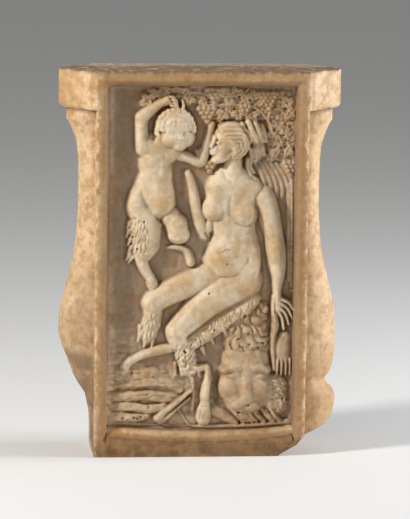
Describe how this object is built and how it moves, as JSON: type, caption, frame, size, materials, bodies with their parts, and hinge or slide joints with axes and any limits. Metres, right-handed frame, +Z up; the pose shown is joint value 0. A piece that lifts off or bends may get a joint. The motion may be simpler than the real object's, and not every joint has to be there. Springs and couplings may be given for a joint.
{
  "type": "carved marble relief pier",
  "caption": "Upright marble pier with a framed figure relief on its front, a polygonal slab at the top and a half baluster on each side.",
  "frame": {"origin": "middle of the underside, under the centre of the bounding box", "axes": "+Z up, the relief faces -Y, +X to the viewer's right"},
  "size_m": [0.407, 0.116, 0.56],
  "materials": {
    "marble": "aged white marble with a honey and brown patina, worn pale on the edges"
  },
  "bodies": {
    "root": {"relief_pier": "marble"}
  },
  "joints": []
}
